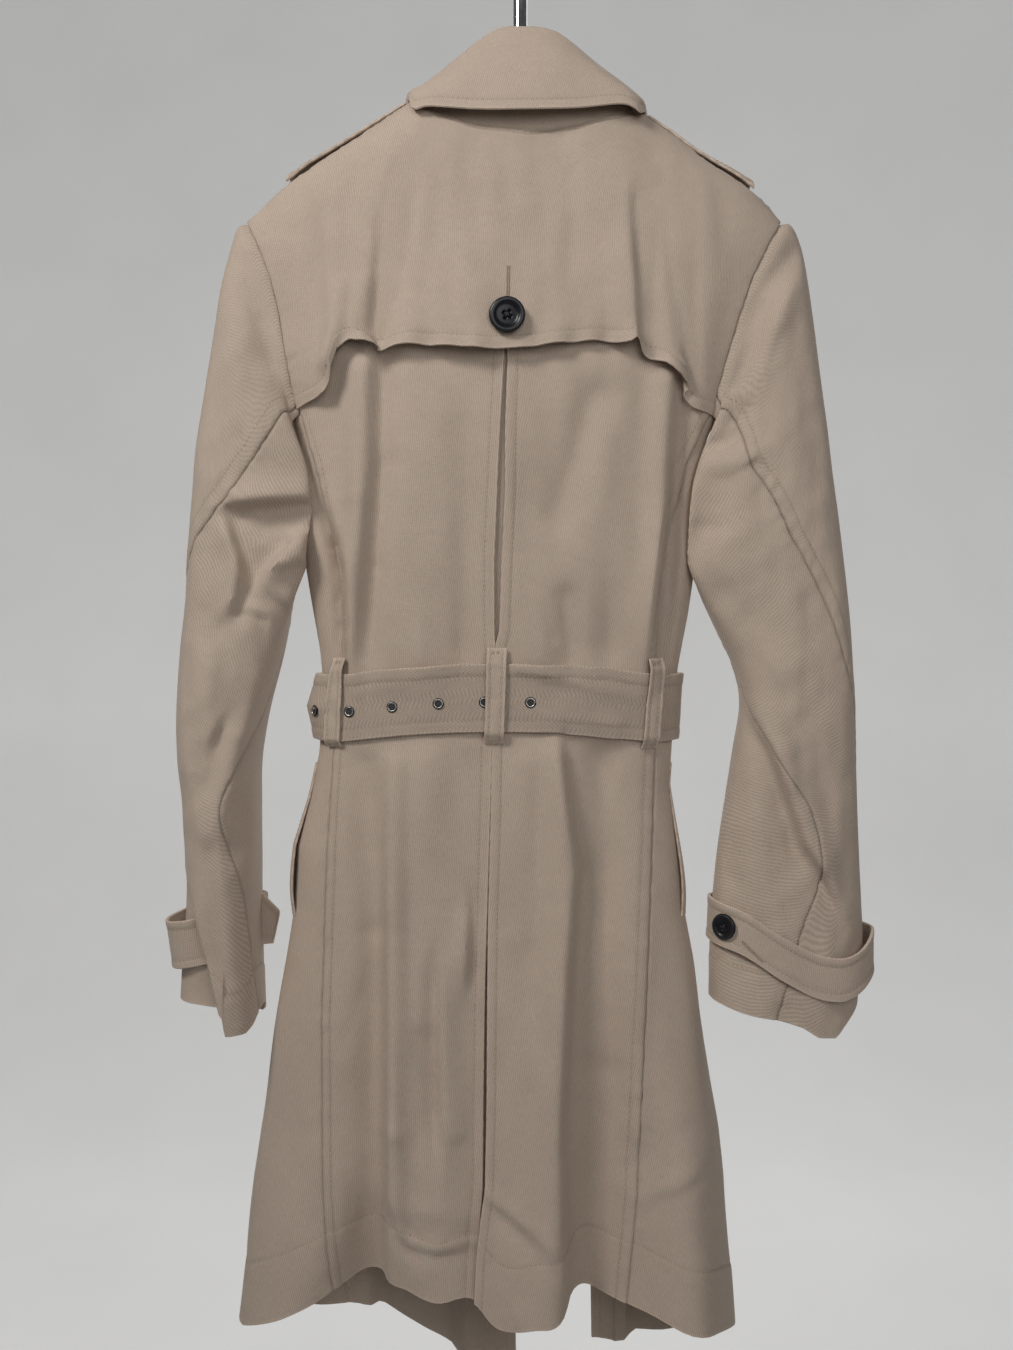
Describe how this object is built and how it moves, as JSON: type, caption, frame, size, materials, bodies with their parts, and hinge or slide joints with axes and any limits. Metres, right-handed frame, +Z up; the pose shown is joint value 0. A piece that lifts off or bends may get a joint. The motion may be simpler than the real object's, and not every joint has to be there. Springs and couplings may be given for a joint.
{
  "type": "trench coat on wall hook",
  "caption": "Belted trench coat with storm flap, epaulettes and cuff straps, hung unbuttoned by its neck loop on a wall hook, its back to the room",
  "frame": {"origin": "centre of the back face of the hook's wall plate, on the wall", "axes": "+Z up, +Y into the wall, the coat hangs on the -Y side with its back to the room, +X to the right as seen from the room"},
  "size_m": [0.5204, 0.1183, 1.1229],
  "materials": {
    "twill": "matt beige cotton twill with a fine diagonal rib",
    "button_plastic": "navy-black, half gloss",
    "dark_metal": "dark nickel with bright worn rims",
    "hook_chrome": "polished chrome"
  },
  "bodies": {
    "root": {"back_button": "button_plastic", "back_left": "twill", "back_right": "twill", "belt": "twill", "belt_loop_centre": "twill", "belt_loop_left": "twill", "belt_loop_right": "twill", "buckle_frame": "dark_metal", "buckle_prong": "dark_metal", "collar_fall": "twill", "collar_stand": "twill", "cuff_button_left": "button_plastic", "cuff_button_right": "button_plastic", "cuff_strap_left": "twill", "cuff_strap_right": "twill", "epaulette_left": "twill", "epaulette_right": "twill", "eyelet_1": "dark_metal", "eyelet_2": "dark_metal", "eyelet_3": "dark_metal", "eyelet_4": "dark_metal", "eyelet_5": "dark_metal", "eyelet_6": "dark_metal", "front_button_1": "button_plastic", "front_button_2": "button_plastic", "front_button_3": "button_plastic", "front_button_4": "button_plastic", "front_left": "twill", "front_right": "twill", "hook_plate": "hook_chrome", "hook_rod": "hook_chrome", "lapel_left": "twill", "lapel_right": "twill", "neck_loop": "twill", "pleat_underlay": "twill", "pocket_welt_left": "twill", "pocket_welt_right": "twill", "side_left": "twill", "side_right": "twill", "sleeve_under_left": "twill", "sleeve_under_right": "twill", "sleeve_upper_left": "twill", "sleeve_upper_right": "twill", "storm_flap": "twill", "vent_underlay": "twill"}
  },
  "joints": []
}
